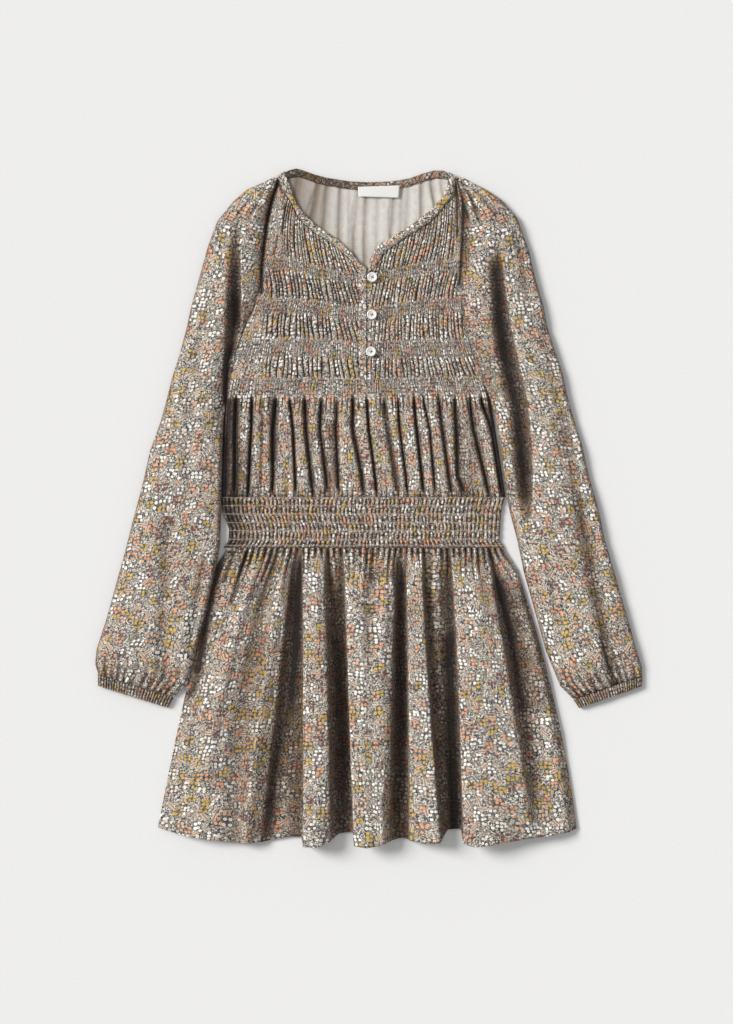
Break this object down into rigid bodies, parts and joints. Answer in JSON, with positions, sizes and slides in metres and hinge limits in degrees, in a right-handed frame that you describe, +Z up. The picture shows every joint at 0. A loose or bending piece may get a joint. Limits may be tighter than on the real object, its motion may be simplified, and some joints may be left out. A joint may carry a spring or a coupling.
{
  "type": "ruched dress",
  "caption": "Girl's long-sleeved dress laid flat: smocked and gathered yoke with a buttoned slit, shirred waist, gathered skirt with deep soft folds and elastic cuffs.",
  "frame": {"origin": "on the resting surface, under the middle of the dress's bounding box", "axes": "+Y from hem to neck, +X to the dress's side seen on the right, +Z up from the surface it lies on"},
  "size_m": [0.5756, 0.7136, 0.016],
  "materials": {
    "printed_cotton": "light woven cotton with a small flower print",
    "wrong_side": "the pale wrong side of the same print",
    "binding": "bias tape and loops of the same print",
    "pearl": "pearly four-hole button",
    "satin_label": "bare woven satin"
  },
  "bodies": {
    "root": {"bodice_front": "printed_cotton", "bodice_back": "wrong_side", "waistband_front": "printed_cotton", "waistband_back": "printed_cotton", "skirt_front": "printed_cotton", "skirt_back": "printed_cotton", "sleeve_left": "printed_cotton", "sleeve_right": "printed_cotton", "cuff_left": "printed_cotton", "cuff_right": "printed_cotton", "neck_binding_left": "binding", "neck_binding_right": "binding", "neck_binding_back": "binding", "button_1": "pearl", "button_2": "pearl", "button_3": "pearl", "loop_1": "binding", "loop_2": "binding", "loop_3": "binding", "label": "satin_label"}
  },
  "joints": []
}
